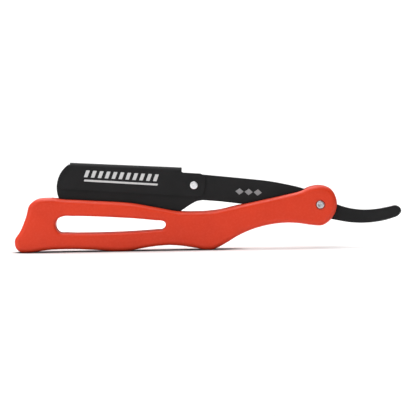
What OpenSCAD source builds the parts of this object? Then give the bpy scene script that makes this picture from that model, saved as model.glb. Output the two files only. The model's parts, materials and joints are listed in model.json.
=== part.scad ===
// Folding barber's razor for a replaceable half blade: a moulded channel handle, a tang arm with
// a finger tail, and a swing-lock clip that wraps the two jaws holding the blade.
//
// The side view is the XZ plane: head towards -X, tail towards +X, +Z up, thickness along Y with
// the front at -Y. Handle outlines are heights above the rest plane, measured from the pivot
// axis; arm outlines are drawn about the pivot with the cutting edge along X. The whole razor is
// then moved so that the origin is under the middle of its length, on the rest plane.

/* [Blade] */
// Length of the half double-edge blade
blade_l = 43; // [35:0.5:52]
// Width from the cutting edge to the snapped back edge
blade_w = 11; // [9:0.1:13.5]
// Thickness of the blade
blade_t = 0.1; // [0.08:0.01:0.2]
// Length of the notch at each end of the cutting edge
notch_l = 2.85; // [1.5:0.05:4]
// Height of the end notches above the cutting edge
notch_h = 3.75; // [3:0.05:4.5]
// How far the cutting edge stands out of the jaws
edge_out = 1.2; // [0.6:0.1:2]
// Radius of the two locating studs that the blade hangs on
stud_r = 1.4; // [1:0.1:2]
// Distance between the locating studs
stud_span = 26; // [20:0.5:32]

/* [Arm] */
// Distance along the arm from the handle pivot to the clip rivet
neck_l = 52.9; // [44:0.1:66]
// Height of the clip rivet above the pivot, square to the cutting edge
clip_rise = 4.9; // [3.5:0.1:5.5]
// Thickness of the tang, neck and tail
arm_t = 2.4; // [2:0.1:3.2]
// Width of the neck beside the clip
neck_w = 10.5; // [9:0.1:11.5]
// Reach of the finger tail from the pivot
tail_l = 33.8; // [27:0.1:42]
// How far the stored arm is raised from level
arm_tilt = 4.3; // [0:0.1:6]

/* [Jaws] */
// Distance from the clip rivet to the near end of the blade
blade_gap = 8.9; // [8.5:0.1:12]
// How far the nose of the jaws runs past the blade
nose_over = 5; // [4:0.1:7]
// Radius of the rounded nose
nose_r = 11.8; // [11.3:0.1:13.5]
// Play between the rear jaw's root and the neck that it seats against
root_play = 0.05; // [0.02:0.01:0.1]

/* [Clip] */
// Thickness of the folded clip sheet
sheet_t = 0.6; // [0.5:0.02:0.8]
// Running play between the clip and the parts that it slides over
clip_play = 0.05; // [0.03:0.01:0.1]
// Height of the clip at the nose end
clip_h_nose = 11; // [10:0.1:12]
// Height of the clip at the neck end
clip_h_neck = 11.7; // [10.9:0.1:12.5]
// How far the clip's side panels stay inside the nose of the jaws
clip_set_in = 1.8; // [1:0.1:3]
// How far the clip laps over the blade's back edge
clip_lap = 1.8; // [1:0.1:3]
// Height from the clip's lower edge to the clip rivet
lobe_drop = 4.65; // [4:0.05:5]
// Height from the clip rivet to the top of the clip's lobes
lobe_top = 4.9; // [4.7:0.05:5.3]
// Length of the lobes past the clip rivet
lobe_l = 4.6; // [4:0.1:5.2]

/* [Clip rivet] */
// Diameter of the clip rivet's shank
clip_pin_d = 2; // [1.8:0.1:2.4]
// Diameter of the clip rivet's flat heads
clip_head_d = 3.2; // [3:0.1:4]
// Thickness of the clip rivet's heads
clip_head_t = 0.45; // [0.4:0.05:0.6]

/* [Pivot] */
// Diameter of the handle pivot rivet
pivot_d = 2.5; // [2.2:0.1:3.2]
// Running play between the pivot rivet and the arm
pivot_play = 0.05; // [0.02:0.01:0.1]
// How far the pivot rivet's heads reach past its shank
pivot_head_rim = 0.45; // [0.4:0.05:0.8]
// Thickness of the pivot rivet's domed heads
pivot_head_t = 0.75; // [0.6:0.05:0.9]
// Gap round the heads in their counterbores
head_gap = 0.35; // [0.2:0.05:0.6]
// How deep the head stays below the handle's side
head_sink = 0.1; // [0.05:0.05:0.3]
// Thickness of the pivot washers
washer_t = 0.3; // [0.2:0.05:0.5]
// Width of the washer's ring outside the rivet
washer_rim = 2.2; // [1.8:0.1:2.6]

/* [Handle] */
// Height of the pivot axis above the rest plane
pivot_h = 18; // [17:0.1:19.5]
// Thickness of each side wall
wall_t = 2.2; // [1.9:0.1:2.8]
// Room between each side wall and the clip
slot_play = 0.7; // [0.6:0.05:1]
// Thickness of the channel's floor
floor_t = 2.5; // [2:0.1:3]
// Length of the solid heel past the channel
heel_l = 15.6; // [13:0.1:20]
// Room between the nose of the jaws and the heel
nose_play = 1.8; // [1.2:0.1:3]
// Room between the tail's sweep and the channel's floor
tail_play = 1.4; // [1:0.1:2.5]
// Radius of the rounded outer edges
edge_r = 2; // [1:0.1:2.1]
// Radius of the rounded window rim
rim_r = 1.4; // [0.8:0.1:1.8]
// Radius of the bosses round the pivot
boss_r = 4.6; // [4.2:0.1:5.2]

/* [Hidden] */
$fn = 48;
over = 1;              // how far cutters run past what they cut
loop_steps = 4;        // straight pieces between two points of a handle outline
path_steps = 6;        // straight pieces between two points of an arm outline
round_steps = 4;       // straight pieces in a quarter-round edge of the handle
corner_r = 2;          // corner between the channel's floor and its closed end
fold_gap = 6;          // how far the clip's fold stops short of the clip rivet
stud_play = 0.1;       // room round and over the locating studs

// Thickness stack, from the jaws outwards.
clip_in = arm_t / 2 + clip_play;
clip_out = clip_in + sheet_t;
slot_w = 2 * (clip_out + slot_play);
handle_t = slot_w + 2 * wall_t;
boss_gap = arm_t + 2 * (pivot_play + washer_t);
head_seat = handle_t / 2 - head_sink - pivot_head_t;
head_r = pivot_d / 2 + pivot_head_rim;

// Arm landmarks about the pivot, with the cutting edge along X.
clip_at = [-neck_l, clip_rise];
clip_low = clip_at[1] - lobe_drop;
clip_top_neck = clip_low + clip_h_neck;
clip_top_nose = clip_low + clip_h_nose;
blade_right = clip_at[0] - blade_gap;
blade_left = blade_right - blade_l;
blade_back = clip_low + clip_lap;
edge_z = blade_back - blade_w;
jaw_low = edge_z + edge_out;
fold_right = clip_at[0] - fold_gap;
spine_tilt = atan2(clip_top_neck - clip_top_nose, fold_right - blade_left);
nose_at = [blade_left - nose_over + nose_r, clip_low + 1.05];
neck_top = clip_at[1] + lobe_top - 0.3;
neck_low = neck_top - 0.1 - neck_w;
root_x = clip_at[0] + lobe_l - 0.6;
blade_mid = (blade_left + blade_right) / 2;
jaw_top_gap = sheet_t + 3 * clip_play;

// Handle landmarks.
channel_left = blade_left - nose_over - nose_play;
grip_l = heel_l - channel_left;
floor_right = -tail_l - tail_play;

// Smooth curve through points: the slope at each point is a blend of the chords on its two
// sides, weighted by how short they are.
function slope(a, b, c) =
    let (d0 = norm(b - a), d1 = norm(c - b)) ((b - a) / d0 * d1 + (c - b) / d1 * d0) / (d0 + d1);
function bend(p, q, sp, sq, u) =
    let (d = norm(q - p))
    p * (1 + 2 * u) * pow(1 - u, 2) + sp * d * u * pow(1 - u, 2)
    + q * u * u * (3 - 2 * u) + sq * d * u * u * (u - 1);
function smooth_loop(p) =
    let (n = len(p))
    [for (i = [0:n - 1]) let (a = p[(i + n - 1) % n], b = p[i], c = p[(i + 1) % n], d = p[(i + 2) % n])
        for (k = [0:loop_steps - 1]) bend(b, c, slope(a, b, c), slope(b, c, d), k / loop_steps)];
function smooth_path(p) =
    let (n = len(p), ends = concat([2 * p[0] - p[1]], p, [2 * p[n - 1] - p[n - 2]]))
    concat([for (i = [1:n - 1]) let (a = ends[i - 1], b = ends[i], c = ends[i + 1], d = ends[i + 2])
        for (k = [0:path_steps - 1]) bend(b, c, slope(a, b, c), slope(b, c, d), k / path_steps)],
        [p[n - 1]]);
function arc(c, r, from, to, steps) =
    [for (i = [0:steps]) let (a = from + (to - from) * i / steps) c + r * [cos(a), sin(a)]];
// Height of a point on the circle about c, for a given height z, on its left side.
function left_of(c, r, z) = c[0] - sqrt(r * r - pow(z - c[1], 2));
// A closed outline moved inwards by d. Outlines run anticlockwise.
function inset(p, d) =
    let (n = len(p))
    [for (i = [0:n - 1]) let (t = p[(i + 1) % n] - p[(i + n - 1) % n]) p[i] + d * [-t[1], t[0]] / norm(t)];

// Handle outline, anticlockwise from the tip of the ear round the pivot. Grip stations are shares
// of the grip's length from the pivot; heel points are measured from the far end. The runs over
// the top and under the bottom have the same number of points, as ringed() needs.
function station(s, h) = [-s * grip_l, h];
ear_top = [for (p = [[6.93, -0.1], [6.5, 2.9], [4.7, 6.15], [0.1, 7.93], [-4.25, 7.4], [-7.95, 5.8],
                     [-14.75, 4.2]]) p + [0, pivot_h]];
back = [station(0.2, 20), station(0.274, 18.1), station(0.337, 16.4), station(0.4, 15.9),
        station(0.47, 16.3), station(0.525, 17.7), station(0.62, 20), station(0.72, 21),
        station(0.775, 21.5), station(0.83, 21.9)];
heel = [for (p = [[14.2, 22.6], [9.3, 22], [6.4, 19.8], [5.1, 15.5], [2.4, 9], [0, 5], [0.8, 1.5],
                  [3.7, -0.1], [7.7, 0.2]]) p - [grip_l, 0]];
belly = [station(0.9, 0.9), station(0.814, 1.2), station(0.713, 0.5), station(0.662, -0.1),
         station(0.626, 0.2), station(0.564, 1.5), station(0.493, 2.2), station(0.407, 0.8),
         station(0.372, -0.1), station(0.347, 0.35), station(0.318, 2.1), station(0.26, 6.3),
         station(0.188, 9.45)];
ear_low = [for (p = [[-13.75, -7.35], [-8.75, -7.65], [-3.75, -8.45], [0.9, -8.6], [4.85, -5.55]])
    p + [0, pivot_h]];
// The three feet dip under the rest plane and are cut flat on it.
handle_loop = [for (p = smooth_loop(concat(ear_top, back, heel, belly, ear_low))) [p[0], max(p[1], 0)]];
floor_line = [for (p = smooth_path(concat([heel[8]], belly))) p + [0, floor_t]];
window_loop = smooth_loop([station(0.864, 12.2), station(0.8628, 10), station(0.853, 8.38),
    station(0.826, 7.98), station(0.76, 7.78), station(0.666, 7.87), station(0.58, 8.27),
    station(0.531, 8.65), station(0.5165, 8.78), station(0.5095, 9.4), station(0.5058, 10.75),
    station(0.5075, 11.65), station(0.5135, 12.25), station(0.537, 12.62), station(0.587, 13.35),
    station(0.666, 14.13), station(0.744, 14.72), station(0.807, 15), station(0.84, 14.95),
    station(0.8565, 14)]);

// Arm outline: one smooth run from the lobe over the tang to the tail's tip and back.
tail_tip = [for (p = [[-9.2, -0.4], [-4.6, 0.8], [-2.2, 1.35], [-0.5, 0.5], [0, -0.8], [-0.8, -2.4],
                      [-4.2, -4.2], [-8.7, -5.6]]) p + [tail_l, 0]];
tang_run = smooth_path(concat(
    [[clip_at[0] + 1.5, neck_top + 0.05], [-0.77 * neck_l, neck_top - 0.3], [-0.58 * neck_l, 8.8],
     [-0.39 * neck_l, 8.25], [-0.28 * neck_l, 7.5], [-8, 6.3], [-3.2, 4.8], [1.8, 3], [7.3, 0.3],
     [12.3, -0.9], [17.8, -1.25]],
    tail_tip,
    [[19.3, -6.6], [13.8, -6.8], [5.3, -5.9], [-5.7, -4.1], [-17.7, -2.6], [-0.65 * neck_l, neck_low - 0.5],
     [-0.8 * neck_l, neck_low - 0.1], [clip_at[0] + 4.2, neck_low]]));
// The heel of the jaws, from the neck's lower edge down to the jaws' lower edge.
jaw_heel = smooth_path([[root_x, neck_low], [clip_at[0] + 1.65, neck_low - 0.6],
    [clip_at[0] - 0.75, neck_low - 2], [clip_at[0] - 3.95, neck_low - 4.4], [clip_at[0] - 6.95, jaw_low]]);
// The nose and top of the jaws, ending under the clip's lobe. The top follows the fold inside.
function spine(x) = clip_top_nose + (x - blade_left) * tan(spine_tilt);
nose_top = [for (p = arc(nose_at, nose_r, 229, 130, 26)) if (p[1] < spine(p[0]) - jaw_top_gap - 0.1) p];
jaw_nose = concat([[left_of(nose_at, nose_r, jaw_low), jaw_low]],
    [for (p = nose_top) if (p[1] > jaw_low + 0.1) p],
    [[blade_left - 0.4, spine(blade_left) - jaw_top_gap],
     [fold_right - 0.7, spine(fold_right) - jaw_top_gap],
     [fold_right - 0.4, neck_top]]);
head_outline = concat(jaw_heel, jaw_nose, [[root_x, neck_top]]);

// Clip side view: fold along the top, lobe round the rivet, and a nose inside the jaws' nose.
panel_r = nose_r - clip_set_in;
lobe_x = clip_at[0] + lobe_l;
clip_outline = concat(
    [[blade_left, clip_top_nose + over],
     [blade_left, nose_at[1] + sqrt(pow(panel_r, 2) - pow(nose_at[0] - blade_left, 2))]],
    [for (a = [130:4:178]) let (p = nose_at + panel_r * [cos(a), sin(a)]) if (p[0] < blade_left - 0.05) p],
    [[left_of(nose_at, panel_r, clip_low), clip_low]],
    arc([lobe_x - 3.3, clip_low + 3.3], 3.3, -90, 0, 8),
    arc([lobe_x - 2.6, clip_at[1] + lobe_top - 2.6], 2.6, 0, 90, 8),
    arc([fold_right + 1.2, clip_at[1] + lobe_top + 0.6], 0.6, 270, 180, 5),
    [[fold_right + 0.6, clip_top_neck - 0.6], [fold_right + 0.2, clip_top_neck + over]]);

// Middle of the whole length, with the arm in its stored pose.
function raised_x(p) = p[0] * cos(arm_tilt) + p[1] * sin(arm_tilt);
left_end = min([for (p = handle_loop) p[0]]);
right_end = max([for (p = tang_run) raised_x(p)]);
mid_x = (left_end + right_end) / 2;

// Drawn about the pivot, placed in the razor's frame.
module about_base() translate([-mid_x, 0, 0]) children();
module about_arm() translate([-mid_x, 0, pivot_h]) rotate([0, arm_tilt, 0]) children();

// A flat outline in the side view, given thickness from y0 to y1.
module plate(outline, y0, y1)
    translate([0, y1, 0]) rotate([90, 0, 0]) linear_extrude(y1 - y0) polygon(outline);
// A round bar along Y at a point of the side view.
module bar(p, r, y0, y1)
    translate([p[0], y0, p[1]]) rotate([-90, 0, 0]) cylinder(r = r, h = y1 - y0);
// A solid through rings of one outline, each [y, inset], from the front to the rear. The outline
// starts at one end of its length and has as many points over the top as under the bottom, so
// each cap is a ladder of rungs between the two.
module ringed(outline, rings) {
    n = len(outline);
    m = len(rings);
    points = [for (r = rings) for (p = inset(outline, r[1])) [p[0], r[0], p[1]]];
    rungs = [for (i = [0:n / 2 - 1]) let (a = i, b = i + 1, c = n - 1 - i, d = (n - i) % n)
        each (i == 0 ? [[a, b, c]] : i == n / 2 - 1 ? [[a, b, d]] : [[a, b, c], [a, c, d]])];
    front = [for (t = rungs) [t[2], t[1], t[0]]];
    rear = [for (t = rungs) t + [1, 1, 1] * (m - 1) * n];
    sides = [for (k = [0:m - 2]) for (i = [0:n - 1])
        let (j = (i + 1) % n, a = k * n + i, b = k * n + j, c = a + n, d = b + n)
            each [[a, b, c], [b, d, c]]];
    polyhedron(points, concat(front, rear, sides));
}
// Ring list of a quarter-round edge of radius r at depth t, sunk (r > 0) or flared (r < 0).
function round_rings(t, r) =
    let (turn = [for (i = [0:round_steps]) let (a = 90 * i / round_steps)
        [t / 2 - abs(r) * (1 - cos(a)), r * (1 - sin(a))]])
    concat([for (p = turn) [-p[0], p[1]]], [for (i = [round_steps:-1:0]) turn[i]]);

// Everything above the channel's floor, open at the top and past the ear.
function floor_at(x) = lookup(x, floor_line);
module channel(width)
    plate(concat([[channel_left, 4 * pivot_h], [channel_left, floor_at(channel_left) + corner_r],
         [channel_left + corner_r, floor_at(channel_left + corner_r)]],
        [for (p = floor_line) if (p[0] > channel_left + corner_r + 0.5 && p[0] < floor_right - 0.5) p],
        [[floor_right, floor_at(floor_right)], [floor_right, -over],
         [4 * boss_r, -over], [4 * boss_r, 4 * pivot_h]]), -width / 2, width / 2);

module handle() color("orangered") about_base() difference() {
    ringed(handle_loop, round_rings(handle_t, edge_r));
    difference() {
        channel(slot_w);
        bar([0, pivot_h], boss_r, -slot_w, slot_w);
    }
    bar([0, pivot_h], boss_r + over, -boss_gap / 2, boss_gap / 2);
    ringed(window_loop, concat([[-handle_t / 2 - over, -rim_r]], round_rings(handle_t, -rim_r),
        [[handle_t / 2 + over, -rim_r]]));
    bar([0, pivot_h], pivot_d / 2, -handle_t, handle_t);
    for (ends = [[-handle_t, -head_seat], [head_seat, handle_t]])
        bar([0, pivot_h], head_r + head_gap, ends[0], ends[1]);
}

// Half of the rivet's section: shank, domed head and the dimple left by setting it.
module rivet_half(shank_r, top_r, seat, head_t, dimple_r) rotate_extrude() polygon([[0, 0],
    [shank_r, 0], [shank_r, seat], [top_r, seat], [top_r, seat + 0.45 * head_t],
    [0.86 * top_r, seat + 0.78 * head_t], [0.6 * top_r, seat + head_t], [dimple_r, seat + head_t],
    [0.5 * dimple_r, seat + 0.7 * head_t], [0, seat + 0.7 * head_t]]);

module pivot_rivet() color("silver") about_base() translate([0, 0, pivot_h])
    for (turn = [-90, 90]) rotate([turn, 0, 0])
        rivet_half(pivot_d / 2, head_r, head_seat, pivot_head_t, 0.4 * pivot_d);

module pivot_washer(side) color("gainsboro") about_base() difference() {
    bar([0, pivot_h], pivot_d / 2 + washer_rim, min(side * boss_gap / 2, side * (boss_gap / 2 - washer_t)),
        max(side * boss_gap / 2, side * (boss_gap / 2 - washer_t)));
    bar([0, pivot_h], pivot_d / 2, -boss_gap, boss_gap);
}
module pivot_washer_front() pivot_washer(-1);
module pivot_washer_rear() pivot_washer(1);

// What lies outside the clip's fold, so that jaws cut by it fit inside the fold with play.
module outside_fold() translate([blade_left, 0, clip_top_nose]) rotate([0, -spine_tilt, 0])
    translate([-2 * nose_over, 0, -clip_out]) difference() {
        translate([0, -clip_out, 0])
            cube([fold_right - blade_left + 2 * nose_over, 2 * clip_out, 2 * clip_out]);
        rotate([0, 90, 0]) translate([0, 0, -over])
            cylinder(r = clip_in - clip_play, h = fold_right - blade_left + 2 * nose_over + 2 * over);
    }

module arm() color("#2b2b2d") about_arm() difference() {
    union() {
        plate(concat(tang_run, [for (i = [1:len(jaw_heel) - 1]) jaw_heel[i]], jaw_nose),
            -arm_t / 2, arm_t / 2);
        studs(stud_r, arm_t / 4);
    }
    difference() {
        plate([[root_x + root_play, -neck_l], [root_x + root_play, neck_l], [channel_left, neck_l],
            [channel_left, -neck_l]], -blade_t / 2, arm_t);
        studs(stud_r, arm_t / 4);
    }
    outside_fold();
    bar([0, 0], pivot_d / 2 + pivot_play, -arm_t, arm_t);
    bar(clip_at, clip_pin_d / 2, -arm_t, arm_t);
}

// Locating studs on the front jaw, or the pockets for them when drawn larger.
module studs(r, depth) for (side = [-1, 1])
    bar([blade_mid + side * stud_span / 2, blade_back], r, -blade_t / 2, depth);

module rear_jaw() color("#2b2b2d") about_arm() difference() {
    plate(head_outline, -blade_t / 2, arm_t / 2);
    plate([[blade_right + 0.4, -neck_l], [blade_right + 0.4, neck_l], [channel_left, neck_l],
        [channel_left, -neck_l]], -arm_t, blade_t / 2);
    studs(stud_r + stud_play, arm_t / 4 + stud_play);
    outside_fold();
    bar(clip_at, clip_pin_d / 2, -arm_t, arm_t);
}

module blade() color("lightsteelblue") about_arm() difference() {
    plate([[blade_left + notch_l, edge_z], [blade_right - notch_l, edge_z],
        [blade_right - notch_l, edge_z + notch_h], [blade_right, edge_z + notch_h],
        [blade_right, blade_back], [blade_left, blade_back], [blade_left, edge_z + notch_h],
        [blade_left + notch_l, edge_z + notch_h]], -blade_t / 2, blade_t / 2);
    for (side = [-1, 1])
        bar([blade_mid + side * stud_span / 2, blade_back], stud_r + stud_play, -over, over);
}

// The clip's cross-section along the spine: a sheet folded round a half circle.
module fold_section(r, drop) {
    circle(r = r);
    translate([0, -r]) square([drop, 2 * r]);
}
module clip() color("#242426") about_arm() difference() {
    intersection() {
        translate([blade_left, 0, clip_top_nose]) rotate([0, -spine_tilt, 0])
            translate([-2 * nose_over, 0, -clip_out]) rotate([0, 90, 0])
                linear_extrude(blade_l + blade_gap + 4 * nose_over) difference() {
                    fold_section(clip_out, 2 * clip_h_neck);
                    fold_section(clip_in, 3 * clip_h_neck);
                }
        plate(clip_outline, -handle_t, handle_t);
    }
    bar(clip_at, clip_pin_d / 2 + clip_play, -handle_t, handle_t);
}

module clip_rivet() color("silver") about_arm() translate([clip_at[0], 0, clip_at[1]])
    for (turn = [-90, 90]) rotate([turn, 0, 0])
        rivet_half(clip_pin_d / 2, clip_head_d / 2, clip_out + clip_play, clip_head_t, 0.2 * clip_pin_d);

handle();
pivot_rivet();
pivot_washer_front();
pivot_washer_rear();
arm();
rear_jaw();
blade();
clip();
clip_rivet();
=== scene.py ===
import json
import math

import bmesh
import bpy
from mathutils import Matrix, Vector


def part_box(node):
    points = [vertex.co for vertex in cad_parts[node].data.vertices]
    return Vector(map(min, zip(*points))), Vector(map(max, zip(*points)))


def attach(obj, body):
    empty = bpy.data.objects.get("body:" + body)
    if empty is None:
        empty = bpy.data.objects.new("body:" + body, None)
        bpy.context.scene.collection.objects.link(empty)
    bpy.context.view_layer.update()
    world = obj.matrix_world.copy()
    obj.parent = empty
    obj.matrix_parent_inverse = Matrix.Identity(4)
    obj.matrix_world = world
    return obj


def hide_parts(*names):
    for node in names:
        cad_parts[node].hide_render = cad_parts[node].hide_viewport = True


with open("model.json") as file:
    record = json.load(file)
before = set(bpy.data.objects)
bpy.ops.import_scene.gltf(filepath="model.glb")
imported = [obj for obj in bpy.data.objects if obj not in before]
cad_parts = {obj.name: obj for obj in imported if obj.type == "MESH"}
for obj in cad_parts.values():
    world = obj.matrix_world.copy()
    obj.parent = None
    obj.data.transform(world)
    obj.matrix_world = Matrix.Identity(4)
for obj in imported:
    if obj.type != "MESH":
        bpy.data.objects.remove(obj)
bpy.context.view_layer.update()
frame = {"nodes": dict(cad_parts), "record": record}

MM = 0.001
scene = bpy.context.scene
joints = {joint["name"]: joint for joint in frame["record"]["behaviour"]["joints"]}
PIVOT = Vector(joints["arm_pivot"]["pos_m"])
CLIP_PIN = Vector(joints["clip_swing"]["pos_m"])
# The stored arm is tilted: its cutting edge and the marks on it run along its own axis.
ALONG_ARM = Matrix.Rotation(math.radians(4.3), 3, "Y")

# Colours, linear.
ORANGE, ORANGE_PALER = (0.64, 0.035, 0.0070), (0.72, 0.044, 0.0100)
# The last colour below, for the rolled edges, stands for rubbing and a painted highlight at once.
ORANGE_FLECK, ORANGE_WEAR_AND_HIGHLIGHT = (0.76, 0.072, 0.032), (0.84, 0.13, 0.07)
BLACK, BLACK_PALER = (0.0140, 0.0140, 0.0145), (0.0175, 0.0175, 0.0181)
# Grey for the rolled edges: rubbing and a painted highlight at once.
BLACK_WEAR_AND_HIGHLIGHT = (0.055, 0.055, 0.057)
FLOOR, FLOOR_PALER = (0.90, 0.90, 0.90), (0.93, 0.93, 0.93)
FLOOR_SHADE = (0.008, 0.014, 0.018)


# ---------------------------------------------------------------- materials
class Nodes:
    """A material's node tree, built from short calls."""

    def __init__(self, name, **shader):
        self.mat = bpy.data.materials.new(name)
        self.mat.use_nodes = True
        self.tree = self.mat.node_tree
        self.shader = self.tree.nodes["Principled BSDF"]
        self.coords = self.tree.nodes.new("ShaderNodeTexCoord").outputs["Object"]
        for socket, value in shader.items():
            self.shader.inputs[socket.replace("_", " ")].default_value = value

    def link(self, source, target):
        self.tree.links.new(source, target)

    def put(self, socket, value):
        """Link a socket's source to it, or set its value."""
        if isinstance(value, bpy.types.NodeSocket):
            self.link(value, socket)
        else:
            socket.default_value = value

    def add(self, kind, inputs=None, **settings):
        node = self.tree.nodes.new("ShaderNode" + kind)
        for key, value in settings.items():
            setattr(node, key, value)
        for key, value in (inputs or {}).items():
            self.put(node.inputs[key], value)
        return node

    def noise(self, per_mm, detail=3.0, rough=0.55, stretch=(1, 1, 1)):
        """Noise with that many features to the millimetre, from 0 to 1."""
        place = self.add("Mapping", {"Vector": self.coords, "Scale": [s / MM for s in stretch]})
        return self.add("TexNoise", {"Vector": place.outputs[0], "Scale": per_mm,
                                     "Detail": detail, "Roughness": rough}).outputs["Fac"]

    def span(self, value, low, high, start=0.0, end=1.0):
        """The value's run from start to end, stretched to run from low to high."""
        return self.add("MapRange", {"Value": value, "From Min": start, "From Max": end,
                                     "To Min": low, "To Max": high}).outputs[0]

    def mix(self, share, a, b):
        """Colour a, or colour b where share is 1."""
        node = self.add("Mix", data_type="RGBA")
        self.put(node.inputs[0], share)
        for socket, colour in ((node.inputs[6], a), (node.inputs[7], b)):
            self.put(socket, (*colour, 1) if isinstance(colour, tuple) else colour)
        return node.outputs[2]

    def bump(self, height, strength, depth_mm, under=None):
        inputs = {"Height": height, "Strength": strength, "Distance": depth_mm * MM}
        if under is not None:
            inputs["Normal"] = under
        return self.add("Bump", inputs).outputs[0]

    def maths(self, operation, *values):
        return self.add("Math", dict(enumerate(values)), operation=operation).outputs[0]

    def vector(self, operation, *values):
        return self.add("VectorMath", dict(enumerate(values)), operation=operation).outputs

    def edge_wear_and_highlight(self):
        """1 on the rolled-over edges, from the mesh, where rubbing and a painted highlight go."""
        return self.add("Attribute", attribute_name="edge").outputs["Fac"]

    def use(self, colour, roughness, normal=None):
        """The material, with these on its shader."""
        self.link(colour, self.shader.inputs["Base Color"])
        self.link(roughness, self.shader.inputs["Roughness"])
        if normal is not None:
            self.link(normal, self.shader.inputs["Normal"])
        return self.mat


def moulded_plastic():
    """Cloudy orange-red with flecks, edges paler for rubbing and as a painted highlight, soft
    waves and a faint parting line.
    """
    m = Nodes("moulded_plastic", Specular_IOR_Level=0.30)
    colour = m.mix(m.span(m.noise(0.05, 3), 0, 1, 0.3, 0.7), ORANGE, ORANGE_PALER)
    colour = m.mix(m.span(m.noise(1.1, 2), 0, 0.35, 0.45, 0.8), colour, ORANGE_FLECK)
    # Paler on the rolled edges: rubbing, and a painted highlight along them.
    colour = m.mix(m.span(m.edge_wear_and_highlight(), 0, 0.4), colour, ORANGE_WEAR_AND_HIGHLIGHT)
    roughness = m.span(m.noise(0.25, 4), 0.32, 0.46, 0.3, 0.7)
    across = m.add("SeparateXYZ", {0: m.coords}).outputs["Y"]
    off_middle = m.maths("ABSOLUTE", across)
    parting = m.bump(m.span(off_middle, 1, 0, 0.04 * MM, 0.16 * MM), 0.35, 0.08)
    waves = m.bump(m.noise(0.12, 2), 0.25, 0.10, parting)
    grain = m.bump(m.noise(4.5, 3, 0.6), 0.22, 0.02, waves)
    return m.use(colour, roughness, grain)


def black_coat():
    """Dull black coat with a fine grain, grey on its edges for rubbing and as a painted highlight.
    """
    m = Nodes("black_coat", Specular_IOR_Level=0.11)
    colour = m.mix(m.span(m.noise(0.09, 3), 0, 1, 0.3, 0.7), BLACK, BLACK_PALER)
    # Grey on the rolled edges: rubbing, and a painted highlight along them.
    colour = m.mix(m.span(m.edge_wear_and_highlight(), 0, 0.5), colour, BLACK_WEAR_AND_HIGHLIGHT)
    roughness = m.span(m.noise(0.5, 4), 0.44, 0.56, 0.3, 0.7)
    grain = m.bump(m.noise(7.0, 3, 0.65), 0.30, 0.015)
    return m.use(colour, roughness, grain)


def turned_steel(name, centre, colour, rough, ring_mm):
    """Steel with the fine rings of a turned or set face, round an axis along Y."""
    m = Nodes(name, Metallic=1.0)
    out = m.vector("SUBTRACT", m.coords, tuple(centre))[0]
    flat = m.vector("MULTIPLY", out, (1, 0, 1))[0]
    radius = m.vector("LENGTH", flat)["Value"]
    wave = m.maths("SINE", m.maths("MULTIPLY", radius, 2 * math.pi / (ring_mm * MM)))
    rings = m.bump(m.span(wave, 0, 1, -1, 1), 0.12, 0.004)
    scuffs = m.bump(m.noise(2.2, 4, 0.6), 0.18, 0.01, rings)
    pale = tuple(min(1, c * 1.08) for c in colour)
    tint = m.mix(m.span(m.noise(0.9, 3), 0, 1, 0.35, 0.65), colour, pale)
    roughness = m.span(m.noise(1.4, 4), rough - 0.05, rough + 0.09, 0.3, 0.7)
    return m.use(tint, roughness, scuffs)


def ground_steel(name, colour, rough, stretch):
    """Blade steel, ground in lines along the axis whose stretch is small."""
    m = Nodes(name, Metallic=1.0)
    lines = m.noise(9.0, 3, 0.6, stretch)
    deep = tuple(c * 0.9 for c in colour)
    tint = m.mix(m.span(m.noise(0.2, 3), 0, 1, 0.3, 0.7), colour, deep)
    roughness = m.span(lines, rough - 0.06, rough + 0.1, 0.3, 0.7)
    return m.use(tint, roughness, m.bump(lines, 0.25, 0.004))


def printed_ink(name, colour):
    """Speckled ink, a little uneven."""
    m = Nodes(name, Specular_IOR_Level=0.4)
    deep = tuple(c * 0.88 for c in colour)
    tint = m.mix(m.span(m.noise(3.5, 3), 0, 1, 0.35, 0.7), deep, colour)
    return m.use(tint, m.span(m.noise(1.5, 2), 0.5, 0.65), m.bump(m.noise(8.0, 2), 0.2, 0.008))


def pale_floor():
    """Almost white, with a painted contact shadow where something stands close over it."""
    m = Nodes("pale_floor", Specular_IOR_Level=0.1)
    tint = m.mix(m.span(m.noise(0.01, 2), 0, 1, 0.3, 0.7), FLOOR, FLOOR_PALER)
    # Painted contact shadow: the floor darkens to a cool near-black where the pieces stand close
    # over it.
    open_share = m.add("AmbientOcclusion", {"Distance": 9 * MM}, samples=16).outputs["AO"]
    tint = m.mix(m.span(open_share, 0, 1, 0.30, 0.90), FLOOR_SHADE, tint)
    return m.use(tint, m.span(m.noise(0.05, 2), 0.75, 0.85))


PLASTIC = moulded_plastic()
COAT = black_coat()
PIVOT_STEEL = turned_steel("pivot_steel", PIVOT, (0.50, 0.50, 0.52), 0.34, 0.16)
PIN_STEEL = turned_steel("pin_steel", CLIP_PIN, (0.86, 0.86, 0.87), 0.36, 0.13)
WASHER_STEEL = turned_steel("washer_steel", PIVOT, (0.62, 0.62, 0.64), 0.34, 0.22)
BLADE_STEEL = ground_steel("blade_steel", (0.66, 0.67, 0.69), 0.28, (0.02, 1, 1))
HONED_STEEL = ground_steel("honed_steel", (0.86, 0.87, 0.89), 0.16, (1, 1, 0.03))
WHITE_INK = printed_ink("white_ink", (0.62, 0.62, 0.62))
GREY_INK = printed_ink("grey_ink", (0.27, 0.27, 0.275))


# ------------------------------------------------------------------- meshes
def node_mesh(node):
    """A CAD node's surface, with one vertex to a corner and one face to a flat side."""
    bm = bmesh.new()
    bm.from_mesh(frame["nodes"][node].data)
    bmesh.ops.remove_doubles(bm, verts=bm.verts, dist=0.002 * MM)
    bmesh.ops.dissolve_limit(bm, angle_limit=math.radians(0.4), verts=bm.verts, edges=bm.edges)
    return bm


def round_size(node):
    """Radius and half length in mm of a round node whose axis is along Y."""
    low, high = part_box(node)
    return (high.x - low.x) / 2 / MM, (high.y - low.y) / 2 / MM


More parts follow.
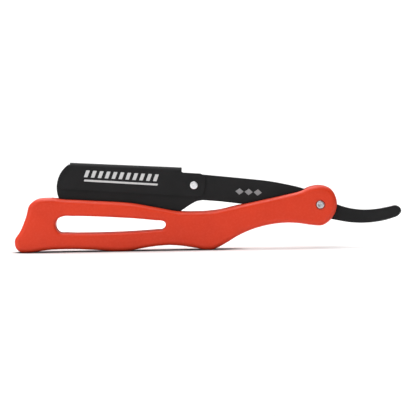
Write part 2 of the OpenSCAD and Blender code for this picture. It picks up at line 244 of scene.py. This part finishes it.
def finish_mesh(bm, name, body, materials, sharp=40):
    """The piece of a bmesh, shaded smooth across all but its sharp edges."""
    bmesh.ops.recalc_face_normals(bm, faces=bm.faces)
    mesh = bpy.data.meshes.new(name)
    bm.to_mesh(mesh)
    bm.free()
    mesh.shade_smooth()
    mesh.set_sharp_from_angle(angle=math.radians(sharp))
    for material in materials:
        mesh.materials.append(material)
    piece = bpy.data.objects.new(name, mesh)
    scene.collection.objects.link(piece)
    piece.modifiers.new("weighted", "WEIGHTED_NORMAL").keep_sharp = True
    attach(piece, body)
    return piece


def softened(node, name, body, material, roll):
    """A CAD node's surface as a piece of its own, its sharp edges rolled over by roll mm."""
    bm = node_mesh(node)
    sharp = math.radians(32)
    edges = [e for e in bm.edges if len(e.link_faces) == 2 and e.calc_face_angle() > sharp]
    made = bmesh.ops.bevel(bm, geom=edges, offset=roll * MM, offset_type="OFFSET", segments=3,
                           profile=0.5, affect="EDGES", clamp_overlap=True)
    # Rubbing and a painted edge highlight show on the rolls alone, so a vertex shared with a flat
    # face has none.
    layer = bm.verts.layers.float.new("edge")
    rolled = set(made["faces"])
    for vert in bm.verts:
        if all(face in rolled for face in vert.link_faces):
            vert[layer] = 1.0
    bmesh.ops.dissolve_degenerate(bm, dist=0.001 * MM, edges=bm.edges)
    piece = finish_mesh(bm, name, body, [material])
    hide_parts(node)


def lathe(profile, centre, turns=72):
    """Rings of (radius, y) in mm, turned round an axis along Y through centre."""
    angles = [2 * math.pi * i / turns for i in range(turns)]
    bm = bmesh.new()
    rings = []
    for radius, y in profile:
        if radius < 1e-6:
            rings.append([bm.verts.new(centre + Vector((0, y * MM, 0)))])
        else:
            rings.append([
                bm.verts.new(centre + Vector((radius * math.cos(a), y, radius * math.sin(a))) * MM)
                for a in angles])
    for one, two in zip(rings, rings[1:]):
        for i in range(turns):
            j = (i + 1) % turns
            if len(one) == 1:
                bm.faces.new((one[0], two[i], two[j]))
            elif len(two) == 1:
                bm.faces.new((one[i], two[0], one[j]))
            else:
                bm.faces.new((one[i], two[i], two[j], one[j]))
    return bm


def smooth_points(points, steps=5):
    """A profile's points joined by a smooth curve, its ends kept."""
    ends = [points[0], *points, points[-1]]
    out = []
    for a, b, c, d in zip(ends, ends[1:], ends[2:], ends[3:]):
        for k in range(steps):
            t = k / steps
            out.append(tuple(
                0.5 * (2 * q + (r - p) * t + (2 * p - 5 * q + 4 * r - s) * t * t
                       + (3 * q - p - 3 * r + s) * t ** 3)
                for p, q, r, s in zip(a, b, c, d)))
    return out + [points[-1]]


def set_rivet(node, name, body, centre, steel, shank_r, head_t, corner, profile):
    """A rivet with two formed heads. The profile runs from the rim to the middle of a head,
    as shares of its radius and rises in mm over its seat. The corner under the rim is cut off
    by that much along the seat and up the rim."""
    head_r, half_length = round_size(node)
    seat = half_length - head_t
    head = smooth_points([(head_r * share, seat + rise) for share, rise in profile])
    half = [(shank_r, seat), (head_r - corner[0], seat), (head_r, seat + corner[1]), *head]
    bm = lathe([(r, -y) for r, y in half[::-1]] + half, centre)
    piece = finish_mesh(bm, name, body, [steel])
    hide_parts(node)


def washer_disc(node, bore_r, roll=0.06):
    """A washer with its corners cut off all round, twice at the outer rim."""
    outer, _ = round_size(node)
    low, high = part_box(node)
    y0, y1 = low.y / MM, high.y / MM
    bit = 0.3 * roll
    ring = [(bore_r, y0 + roll), (bore_r + roll, y0), (outer - roll, y0), (outer - bit, y0 + bit),
            (outer, y0 + roll), (outer, y1 - roll), (outer - bit, y1 - bit), (outer - roll, y1),
            (bore_r + roll, y1), (bore_r, y1 - roll), (bore_r, y0 + roll)]
    bm = lathe(ring, PIVOT)
    bmesh.ops.remove_doubles(bm, verts=bm.verts, dist=0.0001 * MM)
    piece = finish_mesh(bm, node + "_disc", "handle_body", [WASHER_STEEL])
    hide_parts(node)


def half_blade(bevel_mm=0.75, edge_mm=0.01, edge_share=0.12):
    """The CAD blade, its thickness cut to a share along its edge by a bevel on both sides."""
    bm = node_mesh("blade")
    down = ALONG_ARM @ Vector((0, 0, -1))
    reach = max(v.co.dot(down) for v in bm.verts)
    bevel = reach - bevel_mm * MM
    bmesh.ops.bisect_plane(bm, geom=[*bm.verts, *bm.edges, *bm.faces], dist=0.0001 * MM,
                           plane_co=down * bevel, plane_no=down)
    for v in bm.verts:
        if v.co.dot(down) > reach - edge_mm * MM:
            v.co.y *= edge_share
    for f in bm.faces:
        if f.calc_center_median().dot(down) > bevel:
            f.material_index = 1
    piece = finish_mesh(bm, "half_blade", "arm_body", [BLADE_STEEL, HONED_STEEL],
                        sharp=2)
    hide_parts("blade")


def leaning_bar(width, height, round_mm, lean=0.3):
    """Corners of a bar with rounded ends that leans by lean."""
    corners = []
    for cx, cz, start in ((1, 1, 0), (-1, 1, 90), (-1, -1, 180), (1, -1, 270)):
        for k in range(5):
            a = math.radians(start + 22.5 * k)
            x = cx * (width / 2 - round_mm) + round_mm * math.cos(a)
            z = cz * (height / 2 - round_mm) + round_mm * math.sin(a)
            corners.append((x + lean * z, z))
    return corners


def printed(name, body, material, corners, centre, face_y, proud=0.02, sunk=0.03):
    """A film of ink in that outline on the front side at face_y. Its centre is in mm from the
    clip rivet, along the arm and up, and it stands proud of the side and is sunk in it."""
    film = [CLIP_PIN + ALONG_ARM @ Vector((centre[0] + x, 0, centre[1] + z)) * MM
            for x, z in corners]
    bm = bmesh.new()
    front, back = [[bm.verts.new((p.x, y, p.z)) for p in film]
                   for y in (face_y - proud * MM, face_y + sunk * MM)]
    bm.faces.new(front)
    bm.faces.new(back[::-1])
    for i in range(len(film)):
        j = (i + 1) % len(film)
        bm.faces.new((front[i], back[i], back[j], front[j]))
    finish_mesh(bm, name, body, [material])


# --------------------------------------------------------------- the pieces
softened("handle", "handle_moulding", "handle_body", PLASTIC, 0.16)
softened("arm", "arm_plate", "arm_body", COAT, 0.22)
softened("rear_jaw", "rear_jaw_plate", "arm_body", COAT, 0.15)
softened("clip", "clip_cover", "clip_body", COAT, 0.12)

# Pivot rivet: domed heads with a rolled rim and the dimple left by setting it. Its shank
# fills the washers' bore.
washer = frame["nodes"]["pivot_washer_front"].data
shank_r = min(math.hypot(v.co.x - PIVOT.x, v.co.z - PIVOT.z) for v in washer.vertices) / MM
set_rivet("pivot_rivet", "pivot_rivet_set", "handle_body", PIVOT, PIVOT_STEEL, shank_r, 0.75,
          (0.06, 0.05),
          ((1, 0.12), (1, 0.34), (0.94, 0.55), (0.80, 0.69), (0.66, 0.75), (0.55, 0.72),
           (0.47, 0.58), (0.34, 0.50), (0.14, 0.48), (0, 0.475)))

# Clip rivet: flat heads with a rolled edge and a shallow mark in the middle.
set_rivet("clip_rivet", "clip_rivet_set", "arm_body", CLIP_PIN, PIN_STEEL,
          0.6 * round_size("clip_rivet")[0], 0.45, (0.05, 0.04),
          ((1, 0.10), (1, 0.22), (0.95, 0.34), (0.86, 0.41), (0.70, 0.44), (0.45, 0.45),
           (0.25, 0.44), (0.16, 0.40), (0, 0.385)))

for node in ("pivot_washer_front", "pivot_washer_rear"):
    washer_disc(node, shank_r)
half_blade()

# Plain printed marks: leaning bars over a thin line on the clip, three lozenges on the neck.
clip_face, neck_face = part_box("clip")[0].y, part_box("arm")[0].y
BAR = leaning_bar(1.5, 2.9, 0.2)
LINE = leaning_bar(30.6, 0.8, 0.25)
LOZENGE = [(1.7, 0), (0, 1.35), (-1.7, 0), (0, -1.35)]
for k in range(11):
    printed(f"clip_bar_{k:02d}", "clip_body", WHITE_INK, BAR, (-44.6 + 2.87 * k, 2.2), clip_face)
printed("clip_line", "clip_body", WHITE_INK, LINE, (-30.3, -0.6), clip_face)
for k in range(3):
    printed(f"neck_lozenge_{k}", "arm_body", GREY_INK, LOZENGE, (19.1 + 3.8 * k, -1.5), neck_face)


# -------------------------------------------------------------------- stage
def sweep_floor(front=-2.5, back=0.9, curve_r=0.6, top=2.4, half_width=3.0, steps=12):
    """A pale floor that curves up into a backdrop."""
    run = [(front, 0.0), (back, 0.0)]
    for k in range(1, steps + 1):
        a = math.radians(90 * k / steps)
        run.append((back + curve_r * math.sin(a), curve_r * (1 - math.cos(a))))
    run.append((back + curve_r, top))
    bm = bmesh.new()
    rows = [[bm.verts.new((x, y, z)) for x in (-half_width, half_width)] for y, z in run]
    for one, two in zip(rows, rows[1:]):
        bm.faces.new((one[0], one[1], two[1], two[0]))
    mesh = bpy.data.meshes.new("floor")
    bm.to_mesh(mesh)
    bm.free()
    mesh.shade_smooth()
    mesh.materials.append(pale_floor())
    floor = bpy.data.objects.new("floor", mesh)
    scene.collection.objects.link(floor)


def soft_light(name, place, target, size, watts):
    """A rectangular light at a place in metres, turned to its target."""
    light = bpy.data.lights.new(name, "AREA")
    light.shape = "RECTANGLE"
    light.size, light.size_y = size
    light.energy = watts
    lamp = bpy.data.objects.new(name, light)
    lamp.location = place
    lamp.rotation_euler = (Vector(target) - Vector(place)).to_track_quat("-Z", "Y").to_euler()
    scene.collection.objects.link(lamp)


def level_camera(aim, view_width, distance=1.2, raised=3.0, turned=-1.0, sensor_mm=36):
    """A long lens, a little above the floor, turned by the degree the photograph is off level."""
    data = bpy.data.cameras.new("camera")
    data.sensor_width = sensor_mm
    data.lens = sensor_mm * distance / view_width
    data.clip_end = 20
    camera = bpy.data.objects.new("camera", data)
    up = math.radians(raised)
    camera.location = aim + distance * Vector((0, -math.cos(up), math.sin(up)))
    facing = (aim - camera.location).to_track_quat("-Z", "Y").to_matrix().to_4x4()
    roll = Matrix.Rotation(math.radians(turned), 4, "Z")
    camera.rotation_euler = (facing @ roll).to_euler()
    scene.collection.objects.link(camera)
    scene.camera = camera


sweep_floor()
soft_light("left", (-0.75, -0.7, 0.36), (0, 0, 0.02), (0.8, 0.65), 2.9)
soft_light("right", (0.95, -0.8, 0.75), (0, 0, 0.02), (1.1, 0.9), 0.3)
soft_light("front_top", (-0.4, -0.5, 1.1), (0, 0, 0), (1.2, 0.9), 5.2)
soft_light("back_top", (-0.1, 0.4, 1.1), (0, 0, 0), (1.6, 1.2), 5.0)
soft_light("top_strip", (-0.1, -0.03, 0.7), (0, 0, 0.02), (0.9, 0.14), 2.4)
soft_light("backdrop_light", (0, 0.7, 1.6), (0, 1.5, 0.3), (2.4, 0.4), 17.0)

world = bpy.data.worlds.new("studio")
world.use_nodes = True
background = world.node_tree.nodes["Background"]
background.inputs["Color"].default_value = (1, 1, 1, 1)
background.inputs["Strength"].default_value = 0.19
scene.world = world
scene.view_settings.view_transform = "Standard"
level_camera(Vector((0.00013, 0, 0.0172)), 0.1731)
